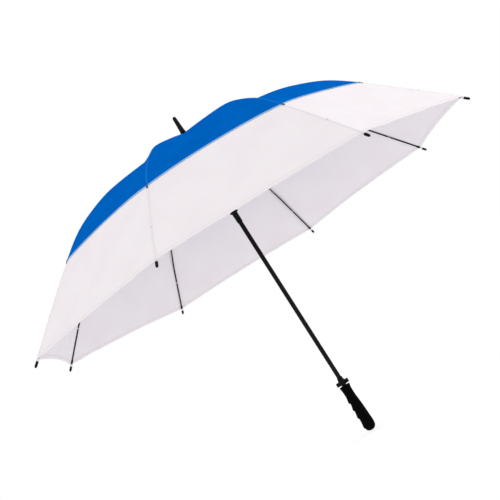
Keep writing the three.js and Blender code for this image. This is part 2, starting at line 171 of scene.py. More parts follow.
class Shader:
    """A material with one Principled shader and short calls for the nodes that feed it."""

    def __init__(self, name, roughness, **inputs):
        self.material = bpy.data.materials.new(name)
        self.material.use_nodes = True
        self.tree = self.material.node_tree
        self.surface = self.tree.nodes["Principled BSDF"]
        self.surface.inputs["Roughness"].default_value = roughness
        for socket, value in inputs.items():
            self.surface.inputs[socket.replace("_", " ")].default_value = value

    def node(self, kind, inputs=(), **settings):
        made = self.tree.nodes.new(kind)
        for key, value in settings.items():
            setattr(made, key, value)
        for key, value in dict(inputs).items():
            if isinstance(value, bpy.types.NodeSocket):
                self.tree.links.new(value, made.inputs[key])
            else:
                made.inputs[key].default_value = value
        return made

    def feed(self, socket, value):
        self.tree.links.new(value, self.surface.inputs[socket])

    def math(self, operation, a, b=0.0):
        return self.node("ShaderNodeMath", {0: a, 1: b}, operation=operation).outputs[0]

    def ramp(self, value, low, high, to_low=0.0, to_high=1.0):
        """value from low to high becomes to_low to to_high, smoothly."""
        limits = {"From Min": low, "From Max": high, "To Min": to_low, "To Max": to_high}
        made = self.node(
            "ShaderNodeMapRange", {"Value": value, **limits}, interpolation_type="SMOOTHSTEP"
        )
        return made.outputs["Result"]

    def band(self, value, centre, half, soft):
        """1 within half of centre, falling to 0 over soft."""
        away = self.math("ABSOLUTE", self.math("SUBTRACT", value, centre))
        return self.ramp(away, half, half + soft, 1.0, 0.0)

    def mix(self, factor, a, b):
        made = self.node("ShaderNodeMix", data_type="RGBA")
        for index, value in ((0, factor), (6, a), (7, b)):
            if isinstance(value, bpy.types.NodeSocket):
                self.tree.links.new(value, made.inputs[index])
            else:
                made.inputs[index].default_value = value
        return made.outputs[2]

    def place(self):
        return self.node("ShaderNodeTexCoord").outputs["Object"]

    def uv(self, layer):
        """(u, v) of a UV layer as two numbers, and the pair as a vector."""
        pair = self.node("ShaderNodeUVMap", uv_map=layer).outputs["UV"]
        parts = self.node("ShaderNodeSeparateXYZ", {"Vector": pair})
        return parts.outputs["X"], parts.outputs["Y"], pair

    def noise(self, vector, scale, detail=3.0, stretch=(1, 1, 1)):
        moved = self.node("ShaderNodeMapping", {"Vector": vector, "Scale": stretch})
        settings = {"Vector": moved.outputs["Vector"], "Scale": scale, "Detail": detail}
        return self.node("ShaderNodeTexNoise", settings).outputs["Fac"]

    def bump(self, height, distance, strength=1.0):
        """Adds a layer of relief, distance deep, over what is there."""
        relief = {"Height": height, "Distance": distance, "Strength": strength}
        made = self.node("ShaderNodeBump", relief)
        under = self.surface.inputs["Normal"]
        if under.is_linked:
            self.tree.links.new(under.links[0].from_socket, made.inputs["Normal"])
        self.tree.links.new(made.outputs["Normal"], under)


SEAM_STITCH = 0.0024  # from the seam to its row of stitches
HEM_STITCH = 0.0064
HEM_FOLD = 0.0075
HEM_EDGE = 0.0020  # the overlocked edge; on the blue cloth its pale colour is a painted highlight along the hem
STITCH_PITCH = 0.0026
STITCH_HALF, STITCH_SOFT = 0.00022, 0.00012
STITCH_GAP = (0.0002, 0.0004)  # where a stitch starts, from the middle of a gap
YARN = 0.0005


def fabric(name, colours, roughness, gloss, **inputs):
    """Woven canopy cloth with stitched seams and a folded hem, on the layers cloth and edges."""
    base, shade, seam_colour, fold_colour, edge_colour_and_painted_highlight, thread = (linear(*c) for c in colours)
    tints = {"Sheen_Tint": gloss, "Specular_Tint": gloss, "Sheen_Roughness": 0.5}
    shader = Shader(name, roughness, **tints, **inputs)
    across, along, cloth = shader.uv("cloth")
    seam, hem, _ = shader.uv("edges")

    cloudy = shader.ramp(shader.noise(cloth, 9, 4), 0.3, 0.7)
    colour = shader.mix(cloudy, base, shade)
    colour = shader.mix(shader.band(seam, 0.0, SEAM_STITCH + 0.0002, 0.0004), colour, seam_colour)
    colour = shader.mix(shader.band(hem, 0.0, HEM_FOLD, 0.0004), colour, fold_colour)
    # the band at the hem's edge: on the blue cloth it is a pale painted highlight along the hem
    colour = shader.mix(shader.band(hem, 0.0, HEM_EDGE, 0.0006), colour, edge_colour_and_painted_highlight)

    dash_along = shader.math("PINGPONG", along, STITCH_PITCH / 2)
    dash_across = shader.math("PINGPONG", across, STITCH_PITCH / 2)
    seam_row = shader.math(
        "MULTIPLY",
        shader.band(seam, SEAM_STITCH, STITCH_HALF, STITCH_SOFT),
        shader.ramp(dash_along, *STITCH_GAP),
    )
    hem_row = shader.math(
        "MULTIPLY",
        shader.band(hem, HEM_STITCH, STITCH_HALF, STITCH_SOFT),
        shader.ramp(dash_across, *STITCH_GAP),
    )
    stitches = shader.math("MAXIMUM", seam_row, hem_row)
    shader.feed("Base Color", shader.mix(stitches, colour, thread))

    warp = shader.ramp(shader.math("PINGPONG", across, YARN / 2), 0.0, YARN / 2)
    weft = shader.ramp(shader.math("PINGPONG", along, YARN / 2), 0.0, YARN / 2)
    weave = shader.math("ADD", warp, weft)
    shader.bump(weave, 0.00006, 0.35)
    shader.bump(shader.noise(cloth, 260, 2), 0.0002, 0.25)
    shader.bump(stitches, 0.0003, 0.8)
    pucker = shader.noise(cloth, 150, 1, (1, 0.2, 1))
    near_hem = shader.band(hem, HEM_STITCH, 0.001, 0.006)
    shader.bump(shader.math("MULTIPLY", pucker, near_hem), 0.0006, 0.4)
    rough = shader.noise(cloth, 40, 3)
    shader.feed("Roughness", shader.ramp(rough, 0.3, 0.7, roughness - 0.06, roughness + 0.06))
    return shader.material


def moulded(name, colour, worn, roughness, grain, depth, **inputs):
    """Moulded plastic or rubber: a fine grain, cloudy gloss and scuffs that catch the light."""
    shader = Shader(name, roughness, **inputs)
    place = shader.place()
    scuffs = shader.ramp(shader.noise(place, 90, 6), 0.56, 0.72)
    shader.feed("Base Color", shader.mix(scuffs, colour, worn))
    gloss = shader.noise(place, 60, 4)
    shader.feed("Roughness", shader.ramp(gloss, 0.3, 0.7, roughness - 0.07, roughness + 0.1))
    shader.bump(shader.noise(place, grain, 2), depth, 0.5)
    return shader.material


def painted(name, colour, worn, roughness, **inputs):
    """Painted metal or fibreglass: long faint draw marks and a soft orange peel."""
    shader = Shader(name, roughness, **inputs)
    place = shader.place()
    marks = shader.noise(place, 400, 3, (1, 1, 0.02))
    shader.feed("Base Color", shader.mix(shader.ramp(marks, 0.55, 0.8), colour, worn))
    peel = shader.noise(place, 240, 2)
    shader.feed("Roughness", shader.ramp(peel, 0.3, 0.7, roughness - 0.05, roughness + 0.07))
    shader.bump(peel, 0.00003, 0.2)
    return shader.material


def brushed_steel(name):
    shader = Shader(name, 0.3, Metallic=1.0)
    place = shader.place()
    grain = shader.noise(place, 900, 2, (1, 1, 0.1))
    shader.feed("Base Color", shader.mix(grain, linear(150, 152, 158), linear(205, 207, 212)))
    shader.feed("Roughness", shader.ramp(grain, 0.2, 0.8, 0.22, 0.42))
    shader.bump(grain, 0.00005, 0.4)
    return shader.material


def spun_thread(name, light, dark):
    """Twisted sewing thread, or the loops of a fastener."""
    shader = Shader(name, 0.85, Sheen_Weight=0.3)
    place = shader.place()
    twist = shader.noise(place, 2600, 2)
    shader.feed("Base Color", shader.mix(shader.ramp(twist, 0.3, 0.7), dark, light))
    shader.feed("Roughness", shader.ramp(twist, 0.3, 0.7, 0.75, 0.95))
    shader.bump(twist, 0.0003, 0.7)
    return shader.material


# Colours of a cloth: base, shade, seam, fold, edge and thread. The blue cloth's pale edge colour is a
# painted highlight along its hem.
WHITE = fabric(
    "white canopy",
    [
        (233, 227, 230), (230, 223, 227), (232, 226, 229),
        (231, 225, 228), (231, 225, 228), (209, 202, 207),
    ],
    0.75, linear(250, 246, 250), Sheen_Weight=0.05, Specular_IOR_Level=0.1,
    Subsurface_Weight=0.2, Subsurface_Radius=(1, 0.95, 0.97), Subsurface_Scale=0.0015,
)
BLUE = fabric(
    "blue canopy",
    # its edge colour, pale blue, is a painted highlight along the hem
    [(0, 98, 188), (0, 92, 179), (18, 110, 200), (0, 95, 184), (150, 194, 240), (30, 120, 208)],
    0.5, linear(0, 110, 255), Sheen_Weight=0.04, Specular_IOR_Level=0.0,
)
POLE = painted("black pole", linear(6, 6, 7), linear(16, 16, 18), 0.14, Specular_IOR_Level=0.12)
BLACK_RIB = painted(
    "black rib", linear(7, 7, 8), linear(18, 18, 20), 0.35, Specular_IOR_Level=0.08
)
PLASTIC = moulded(
    "black plastic", linear(7, 7, 8), linear(16, 16, 18), 0.42, 1800, 0.0001, Specular_IOR_Level=0.1
)
RUBBER = moulded(
    "grip rubber", linear(8, 6, 7), linear(14, 11, 12), 0.72, 1500, 0.00025, Specular_IOR_Level=0.02
)
STEEL = brushed_steel("steel")
THREAD = spun_thread("white thread", linear(228, 223, 227), linear(196, 190, 195))
LOOPS = spun_thread("hook and loop", linear(226, 220, 227), linear(176, 170, 178))
WHITE_RIBBON = spun_thread("white ribbon", linear(226, 220, 224), linear(210, 203, 208))
BLUE_RIBBON = spun_thread("blue ribbon", linear(0, 52, 108), linear(0, 38, 84))


# ---- Mesh making ----
LEAST_RADIUS = 0.00002  # of a lathe's ends, so that no two points meet


def make(name, vertices, faces, material, sharp=35):
    mesh = bpy.data.meshes.new(name)
    mesh.from_pydata([tuple(v) for v in vertices], [], faces)
    mesh.polygons.foreach_set("use_smooth", [True] * len(faces))
    mesh.set_sharp_from_angle(angle=math.radians(sharp))
    mesh.materials.append(material)
    mesh.update()
    obj = bpy.data.objects.new(name, mesh)
    bpy.context.scene.collection.objects.link(obj)
    return obj


def skin(rings, loop=False):
    """A closed body through equal rings of points, which turn left where they go up."""
    count = len(rings[0])
    vertices = [p for ring in rings for p in ring]
    faces = []
    for i in range(len(rings) if loop else len(rings) - 1):
        low, high = i * count, (i + 1) % len(rings) * count
        for j in range(count):
            after = (j + 1) % count
            faces.append((low + j, low + after, high + after, high + j))
    if not loop:
        faces.append(tuple(reversed(range(count))))
        faces.append(tuple(range(len(vertices) - count, len(vertices))))
    return vertices, faces


def joined(*bodies):
    vertices, faces = [], []
    for more_vertices, more_faces in bodies:
        start = len(vertices)
        vertices += more_vertices
        faces += [tuple(start + i for i in face) for face in more_faces]
    return vertices, faces


def turned(profile, segments=64, loop=False):
    """A lathe about +Z through (radius, height) pairs, from low to high on the outside."""
    turns = [2 * math.pi * j / segments for j in range(segments)]
    rings = []
    for r, z in profile:
        r = max(r, LEAST_RADIUS)
        rings.append([(r * math.cos(a), r * math.sin(a), z) for a in turns])
    return skin(rings, loop)


def placed(body, matrix):
    vertices, faces = body
    return [tuple(matrix @ Vector(v)) for v in vertices], faces


def rounded_section(width, depth, power=4.0, count=20):
    """A rounded rectangle as (across, up) pairs."""
    points = []
    for j in range(count):
        a = 2 * math.pi * (j + 0.5) / count
        c, s = math.cos(a), math.sin(a)
        points.append((
            width / 2 * math.copysign(abs(c) ** (2 / power), c),
            depth / 2 * math.copysign(abs(s) ** (2 / power), s),
        ))
    return points


def swept(path, section, scales=None):
    """A bar along (radius, height) points in a rib's plane."""
    rings = []
    for i, (r, z) in enumerate(path):
        (ra, za), (rb, zb) = path[max(i - 1, 0)], path[min(i + 1, len(path) - 1)]
        length = math.hypot(rb - ra, zb - za)
        up = Vector((-(zb - za) / length, 0, (rb - ra) / length))
        scale = scales[i] if scales else 1.0
        middle = Vector((r, 0, z))
        rings.append([middle + up * v * scale + Vector((0, -u * scale, 0)) for u, v in section])
    return skin(rings)


def across_pin(at, radius, length, segments=24, dome=0.0):
    """A round pin across a rib's plane, with heads that bulge by dome."""
    half = length / 2
    profile = [
        (0, -half - dome), (radius * 0.6, -half - dome * 0.7), (radius, -half),
        (radius, half), (radius * 0.6, half + dome * 0.7), (0, half + dome),
    ]
    turn = Matrix.Translation((at[0], 0, at[1])) @ Matrix.Rotation(math.pi / 2, 4, "X")
    return placed(turned(profile, segments), turn)


def plate(outline, thickness, edge=0.0004):
    """A flat plate in a rib's plane from a closed outline of (radius, height), with eased edges."""
    middle = Vector([sum(values) / len(outline) for values in zip(*outline)])

    def ring(y, inset):
        points = []
        for p in outline:
            v = Vector(p) - middle
            v *= max(1 - inset / max(v.length, 1e-6), 0.1)
            points.append((middle.x + v.x, y, middle.y + v.y))
        return points

    half = thickness / 2
    return skin([ring(half, edge), ring(half - edge, 0), ring(edge - half, 0), ring(-half, edge)])


def spoke_turn(k):
    return Matrix.Rotation(2 * HALF_STEP * (k - 1), 4, "Z")


def spoked(name, body, material, k, sharp=35):
    """A piece built in the plane of rib 1 and turned to rib k."""
    return make(f"{name}_{k}", *placed(body, spoke_turn(k)), material, sharp)


# ---- Canopy ----
SHEET = 0.00035
SEAM_END = (0.0022, 0.0028)  # where the seam allowance thins out, from the seam
FOLD_END = (0.0070, 0.0080)  # where the hem's fold thins out, from the hem
LAYER_OUT, LAYER_IN = 0.0002, 0.0004  # what those layers add to each side
SEAM_LINES = (0.0, 0.0012, 0.0022, 0.0028, 0.0045)
HEM_LINES = (0.0095, 0.0080, 0.0070, 0.0055, 0.0012, 0.0)


def upper_sag(r):
    return 4 * UPPER_SAG * (r / UPPER_HEM) * max(1 - r / UPPER_HEM, 0)


UPPER = {
    "start": CANOPY_START,
    "hem": UPPER_HEM,
    "scallop": UPPER_SCALLOP,
    "height": ridge,
    "sag": upper_sag,
}
LOWER = {
    "start": LOWER_TOP,
    "hem": LOWER_HEM,
    "scallop": LOWER_SCALLOP,
    "height": lambda r: ridge(r) - VENT_GAP * (1 - smoothstep(r, UPPER_HEM, VENT_END)),
    "sag": lambda r: upper_sag(r) + LOWER_SAG * smoothstep(r, UPPER_HEM - 0.01, VENT_END),
}


def panel_point(shape, r, across):
    """Where the panel is in the plane of rib 1 and 2, and the direction out of it."""
    width = r * math.sin(HALF_STEP)
    dip = shape["sag"](r) * (1 - across**2)
    lean = ridge_lean(r)
    out = r * math.cos(HALF_STEP) + dip * math.sin(lean)
    point = Vector((
        out * math.cos(HALF_STEP) - width * across * math.sin(HALF_STEP),
        out * math.sin(HALF_STEP) + width * across * math.cos(HALF_STEP),
        shape["height"](r) - dip * math.cos(lean),
    ))
    turn = HALF_STEP * (1 + across)
    inward = math.sin(lean)
    outward = Vector((-inward * math.cos(turn), -inward * math.sin(turn), math.cos(lean)))
    return point, outward


def creases(shape, r, across, k):
    """Height of small tension folds: drawn from the hem's corners, and down the panel."""
    inside = 1 - across**2
    low = (r - shape["start"]) / (shape["hem"] - shape["start"])
    lengthwise = noise.noise(Vector((across * 7.0, r * 5.0, k * 11.3)))
    broad = noise.noise(Vector((across * 2.3, r * 9.0, k * 5.1 + 40)))
    corner_x = (1 - abs(across)) * r * math.sin(HALF_STEP)
    corner_r = shape["hem"] - r
    away = math.hypot(corner_x, corner_r)
    fan = math.sin(9.0 * math.atan2(corner_r, corner_x + 0.004) + k) * math.exp(-away / 0.07)
    fan *= smoothstep(away, 0.004, 0.03)
    side = smoothstep(inside, 0.0, 0.25) * smoothstep(abs(r - UPPER_HEM), 0.02, 0.08)
    drawn = side * (0.0011 * lengthwise * low + 0.0013 * broad * low)
    return drawn + 0.0005 * fan * smoothstep(inside, 0, 0.15)


def canopy_columns(width, middle):
    """Places across a panel: lines at set distances from both seams, even ones between."""
    edges = [min(e / width, e / SEAM_LINES[-1] * 0.3) for e in SEAM_LINES]
    inner = 1 - edges[-1]
    even = [lerp(-inner, inner, (j + 1) / (middle + 1)) for j in range(middle)]
    return [-1 + e for e in edges] + even + [1 - e for e in reversed(edges)]


def canopy_panel(name, shape, k, rows, middle, material):
    """A closed thin sheet between ribs k and k + 1, thicker at its seams and its folded hem."""
    start, hem = shape["start"], shape["hem"]
    count_columns = middle + 2 * len(SEAM_LINES)
    count_rows = rows + len(HEM_LINES)
    outer, inner, cloth, edges = [], [], [], []
    for i in range(count_rows):
        nominal = lerp(start, hem, min(i / rows, 1))
        for across in canopy_columns(nominal * math.sin(HALF_STEP), middle):
            edge = hem - shape["scallop"] * (1 - across**2)
            if i < rows:
                r = lerp(start, edge - HEM_LINES[0], i / rows)
            else:
                r = edge - HEM_LINES[i - rows]
            point, outward = panel_point(shape, r, across)
            to_seam = (1 - abs(across)) * r * math.sin(HALF_STEP)
            to_hem = edge - r
            seam = 1 - smoothstep(to_seam, *SEAM_END)
            fold = 1 - smoothstep(to_hem, *FOLD_END)
            top = creases(shape, r, across, k) + LAYER_OUT * seam + LAYER_OUT * fold
            outer.append(point + outward * top)
            inner.append(point + outward * (top - SHEET - LAYER_IN * max(seam, fold)))
            cloth.append((across * r * math.sin(HALF_STEP), arc_length(start, r)))
            edges.append((to_seam, to_hem))

    def at(i, j, under):
        return under * len(outer) + i * count_columns + j

    faces = []
    last_row, last_column = count_rows - 1, count_columns - 1
    for i in range(last_row):
        for j in range(last_column):
            faces.append((at(i, j, 0), at(i + 1, j, 0), at(i + 1, j + 1, 0), at(i, j + 1, 0)))
            faces.append((at(i, j, 1), at(i, j + 1, 1), at(i + 1, j + 1, 1), at(i + 1, j, 1)))
    for j in range(last_column):
        a, b = j, j + 1
        faces.append((at(0, a, 1), at(0, a, 0), at(0, b, 0), at(0, b, 1)))
        faces.append((at(last_row, a, 1), at(last_row, b, 1), at(last_row, b, 0), at(last_row, a, 0)))
    for i in range(last_row):
        a, b, end = i, i + 1, last_column
        faces.append((at(a, 0, 0), at(a, 0, 1), at(b, 0, 1), at(b, 0, 0)))
        faces.append((at(a, end, 1), at(a, end, 0), at(b, end, 0), at(b, end, 1)))
    obj = spoked(name, (outer + inner, faces), material, k, 50)
    for title, values in (("cloth", cloth * 2), ("edges", edges * 2)):
        uv = obj.data.uv_layers.new(name=title)
        uv.data.foreach_set("uv", [c for loop in obj.data.loops for c in values[loop.vertex_index]])
    return obj


# Length along the ridge, step by step, to lay out the cloth as it was cut
ARC_STEPS = 400
ARC = [0.0]
for step in range(ARC_STEPS):
    a, b = (SPAN * (step + s) / ARC_STEPS for s in (0, 1))
    ARC.append(ARC[-1] + math.hypot(b - a, ridge(b) - ridge(a)))


def arc_length(start, end):
    """Length along the ridge between two radii."""
    def at(r):
        x = min(max(r / SPAN, 0), 1) * ARC_STEPS
        i = min(int(x), ARC_STEPS - 1)
        return lerp(ARC[i], ARC[i + 1], x - i)
    return at(end) - at(start)


def flat_area(start, end, steps=60):
    """Area of a gore between two radii, as it was cut."""
    total = 0.0
    for i in range(steps):
        a, b = lerp(start, end, i / steps), lerp(start, end, (i + 1) / steps)
        total += arc_length(a, b) * (a + b) * math.sin(HALF_STEP)
    return total


def fold_away(obj):
    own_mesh(obj)


def corner_cuff(k):
    """The hem's corner wraps the rib's end, up to the tip."""
    end = TIP_END[0] - (TIP_LENGTH - TIP_MOUTH) * math.cos(TIP_ANGLE)
    steps = 8
    path, sizes = [], []
    for i in range(steps + 1):
        r = lerp(CUFF_START, end, i / steps)
        path.append((r, rib_height(r) + 0.0008 * (1 - i / steps)))
        sizes.append(lerp(1.0, 0.86, smoothstep(i / steps, 0.3, 1)) + 0.02 * math.sin(i * 2.1 + k))
    body = swept(path, rounded_section(0.0066, 0.0064, 2.6, 24), sizes)
    obj = spoked("corner_cuff", body, WHITE_RIBBON, k)
    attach(obj, f"flex_rib_{k}")
    return obj


def corner_tack(k):
    """The blue hem's corner, folded under and tacked down over the rib."""
    path = [(r, ridge(r) + 0.0002 - 0.0012 * smoothstep(r, UPPER_HEM, UPPER_HEM + 0.006))
            for r in (UPPER_HEM - 0.003 + 0.001 * i for i in range(9))]
    sizes = [1.0, 1.0, 1.0, 0.98, 0.95, 0.90, 0.82, 0.70, 0.50]
    body = swept(path, rounded_section(0.0052, 0.0016, 3, 16), sizes)
    obj = spoked("corner_tack", body, BLUE_RIBBON, k)
    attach(obj, f"main_rib_{k}")
    return obj


def tie(name, k, r, body, height):
    """A few turns of thread that hold the canopy's seam to a rib, up to height over it."""
    turns, wire, steps = 4, 0.00045, 20
    pitch = 2 * wire
    lean = ridge_lean(r)
    points = []
    for i in range(turns * steps + 1):
        a = 2 * math.pi * i / steps
        along = (i / steps - turns / 2) * pitch
        side = (RIB / 2 + wire) * math.sin(a) * 1.15
        up = lerp(-RIB / 2 - wire, height, (1 - math.cos(a)) / 2)
        points.append(Vector((
            r + along * math.cos(lean) - up * math.sin(lean),
            side,
            rib_height(r) + along * math.sin(lean) + up * math.cos(lean),
        )))
    rib_way = Vector((math.cos(lean), 0, math.sin(lean)))
    round_wire = [2 * math.pi * j / 6 for j in range(6)]
    rings = []
    for i, p in enumerate(points):
        tangent = (points[min(i + 1, len(points) - 1)] - points[max(i - 1, 0)]).normalized()
        x = tangent.cross(rib_way).normalized()
        y = tangent.cross(x)
        rings.append([p + (x * math.cos(b) + y * math.sin(b)) * wire for b in round_wire])
    obj = spoked(name, skin(rings), THREAD, k)
    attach(obj, body)
    return obj


for k in range(1, RIBS + 1):
    upper = canopy_panel("blue_panel", UPPER, k, 44, 34, BLUE)
    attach(upper, f"main_rib_{k}")
    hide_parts(f"upper_canopy_{k}")
    fold_away(upper)
    arc_length(CANOPY_START, UPPER_HEM)
    flat_area(CANOPY_START, UPPER_HEM - MEAN_SCALLOP * UPPER_SCALLOP)
    corner_tack(k)

    lower = canopy_panel("white_panel", LOWER, k, 34, 40, WHITE)
    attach(lower, f"flex_rib_{k}")
    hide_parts(f"lower_canopy_{k}")
    fold_away(lower)
    arc_length(LOWER_TOP, LOWER_HEM)
    flat_area(LOWER_TOP, LOWER_HEM - MEAN_SCALLOP * LOWER_SCALLOP)
    corner_cuff(k)


# ---- Ribs, stretchers and tips ----
def rib_path(start, end, count):
    return [(r, rib_height(r)) for r in (lerp(start, end, i / count) for i in range(count + 1))]


BAR = rounded_section(RIB, RIB, 3.2)


def main_rib_body():
    line = [PIVOT] + rib_path(0.026, FLEX_AT - RIB_BEND * 0.7, 40)
    eye = across_pin(PIVOT, 0.0026, RIB, 24)
    collar = rib_path(LUG_AT - 0.008, LUG_AT + 0.008, 6)
    sleeve = swept(collar, rounded_section(RIB + 0.0014, RIB + 0.0014, 5))
    return joined(swept(line, BAR), eye, sleeve)


def lug_body():
    """The tab under a rib that the stretcher's fork is riveted to."""
    low = LUG[1]
    top = rib_height(LUG_AT) - RIB / 2
    reach = 0.003
    outline = [(LUG_AT - 0.006, top), (LUG_AT + 0.006, top)][::-1]
    for j in range(9):
        a = math.pi - math.pi * j / 8
        outline.append((LUG_AT + reach * math.cos(a), low + reach * math.sin(a) * 0.99))
    return plate(outline, RIB)


def stretcher_body():
    """A channel open towards the pole, forked round the lug and flat at the runner's wire."""
    line = Vector((LUG[0] - RING[0], LUG[1] - RING[1]))
    length = line.length
    along = line / length
    up = Vector((-along.y, along.x))

    def point(distance, rise=0.0):
        return tuple(Vector(RING) + along * distance + up * rise)

    width, depth, wall = 0.0054, 0.0036, 0.0007
    half, w, d = width / 2, wall, depth / 2
    eased = 0.0006
    channel = [
        (-half, -d), (-half + w, -d), (-half + w, d - w), (half - w, d - w), (half - w, -d), (half, -d),
        (half, d - eased), (half - eased, d), (-half + eased, d), (-half, d - eased),
    ]
    steps = 30
    middle = [point(lerp(0.007, length - 0.010, i / steps)) for i in range(steps + 1)]
    web = swept(middle, channel[::-1])
    prongs = []
    for side in (-1, 1):
        outline = [point(length - 0.013, -d), point(length - 0.013, d)]
        for j in range(9):
            a = math.pi / 2 - math.pi * j / 8
            outline.append(point(length + 0.0024 * math.cos(a), 0.0024 * math.sin(a)))
        flat = plate(outline[::-1], wall, 0.0002)
        prongs.append(placed(flat, Matrix.Translation((0, side * (half - wall / 2), 0))))
    eye = [point(0.010, -0.0012), point(0.010, 0.0012)]
    for j in range(9):
        a = math.pi / 2 + math.pi * j / 8
        eye.append(point(0.0018 * math.cos(a), 0.0018 * math.sin(a)))
    knuckle = plate(eye[::-1], 0.0034, 0.0003)
    return joined(web, *prongs, knuckle)


def tip_body():
    """A moulded cap: a mouth that takes the rib, a waist with the thread's hole, and a round end."""
    radius = 0.0033
    profile = [
        (0.0020, -TIP_LENGTH + 0.0001), (0.0028, -TIP_LENGTH), (0.0032, -TIP_LENGTH + 0.0004),
        (radius, -TIP_LENGTH + 0.0012), (radius, -0.0118), (0.0029, -0.0113), (0.0029, -0.0106),
        (radius, -0.0101), (radius, -0.0052), (0.0031, -0.0040), (0.00275, -0.0024),
        (0.0021, -0.0011), (0.0012, -0.00035), (0, 0),
    ]
    turn = Matrix.Rotation(math.pi / 2 - TIP_ANGLE, 4, "Y")
    return placed(turned(profile, 40), Matrix.Translation((TIP_END[0], 0, TIP_END[1])) @ turn)


def bend_body():
    """The stretch of rib that flexes, between the main rib and its outer part."""
    sleeve = [(u * 1.02, v * 1.02) for u, v in BAR]
    return swept(rib_path(FLEX_AT - RIB_BEND, FLEX_AT + RIB_BEND, 18), sleeve)


for k in range(1, RIBS + 1):
    main = spoked("rib", main_rib_body(), BLACK_RIB, k)
    lug = spoked("rib_lug", lug_body(), PLASTIC, k)
    for obj in (main, lug):
        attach(obj, f"main_rib_{k}")
    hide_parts(f"main_rib_{k}")

    end = TIP_LENGTH - 0.009
    tail = (TIP_END[0] - end * math.cos(TIP_ANGLE), TIP_END[1] - end * math.sin(TIP_ANGLE))
    bar = swept(rib_path(FLEX_AT + RIB_BEND * 0.7, SPAN - 0.024, 26) + [tail], BAR)
    stop = swept(rib_path(STOP_START, STOP_END, 6), rounded_section(0.0050, 0.0050, 3),
                 [0.75, 0.95, 1, 1, 1, 0.95, 0.75])
    outer = spoked("flex_rib_bar", joined(bar, stop), BLACK_RIB, k)
    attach(outer, f"flex_rib_{k}")
    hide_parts(f"flex_rib_{k}")

    bend = spoked("rib_bend", bend_body(), BLACK_RIB, k)
    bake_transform(bend)

    strut = spoked("stretcher_arm", stretcher_body(), BLACK_RIB, k)
    rivet = spoked("lug_rivet", across_pin(LUG, 0.0014, 0.0058, 20, 0.0005), STEEL, k)
    for obj, slot in ((strut, "rib_black"), (rivet, "steel")):
        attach(obj, f"stretcher_{k}")
    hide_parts(f"stretcher_{k}")

    cap = spoked("tip", tip_body(), PLASTIC, k)
    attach(cap, f"flex_rib_{k}")
    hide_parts(f"rib_tip_{k}")

    tie("upper_tie", k, UPPER_TIE_AT, f"main_rib_{k}", 0.0040)
    tie("outer_tie", k, OUTER_TIE_AT, f"flex_rib_{k}", 0.0040)


# ---- Pole, crown and ferrule ----
def box_body(low, high):
    (x0, y0, z0), (x1, y1, z1) = low, high
    return skin([[(x0, y0, z), (x1, y0, z), (x1, y1, z), (x0, y1, z)] for z in (z0, z1)])


def less_box(body, low, high):
    """A closed body with a box cut out of it, for a slot. It takes one body, not a joined one."""
    blank = make("blank", *body, POLE)
    cutter = make("cutter", *box_body(low, high), POLE)
    cut = blank.modifiers.new("slot", "BOOLEAN")
    cut.operation, cut.object, cut.solver = "DIFFERENCE", cutter, "EXACT"
    result = blank.evaluated_get(bpy.context.evaluated_depsgraph_get())
    mesh = bpy.data.meshes.new_from_object(result)
    slotted = [tuple(v.co) for v in mesh.vertices], [tuple(face.vertices) for face in mesh.polygons]
    for spare in (blank.data, cutter.data, mesh):
        bpy.data.meshes.remove(spare)
    return slotted


def shaft_piece():
    """The tube, with a slot for each catch."""
    low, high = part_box("shaft")[0].z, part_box("shaft")[1].z
    ease, play = 0.0003, 0.0004
    body = turned(
        [(SHAFT_BORE, low), (SHAFT_R - ease, low), (SHAFT_R, low + ease),
         (SHAFT_R, high - ease), (SHAFT_R - ease, high), (SHAFT_BORE, high)],
        72, loop=True,
    )
    for name in ("top_catch", "bottom_catch"):
        a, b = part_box(name)
        body = less_box(
            body, (a.x - play, 0.004, a.z - play), (b.x + play, 0.008, b.z + play)
        )
    return make("pole_tube", *body, POLE)


def slotted_disc(outer, floor, slot, low, high, ease):
    """A hub with a slot for each rib, whose rings turn in at the slots."""
    def ring(z, inset):
        points = []
        for k in range(RIBS):
            middle = 2 * HALF_STEP * k
            gate = math.asin((slot / 2 + inset) / (outer - inset))
            inner_gate = math.asin((slot / 2 + inset) / floor)
            for a in (-inner_gate, 0.0, inner_gate):
                points.append((floor, middle + a))
            for i in range(9):
                around = lerp(middle + gate, middle + 2 * HALF_STEP - gate, i / 8)
                points.append((outer - inset, around))
        return [(r * math.cos(a), r * math.sin(a), z) for r, a in points]

    return skin([ring(low, ease), ring(low + ease, 0), ring(high - ease, 0), ring(high, ease)])


def notch_piece():
    low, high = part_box("crown_notch")[0].z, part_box("crown_notch")[1].z
    hub = slotted_disc(0.0135, 0.0074, 0.004, low, high - 0.0012, 0.0005)
    throat = turned(
        [(0.0063, low), (0.0092, low), (0.0092, high - 0.004), (0.0088, high - 0.0036),
         (0.0063, high - 0.0036)],
        64, loop=True,
    )
    return make("notch_hub", *joined(hub, throat), PLASTIC)


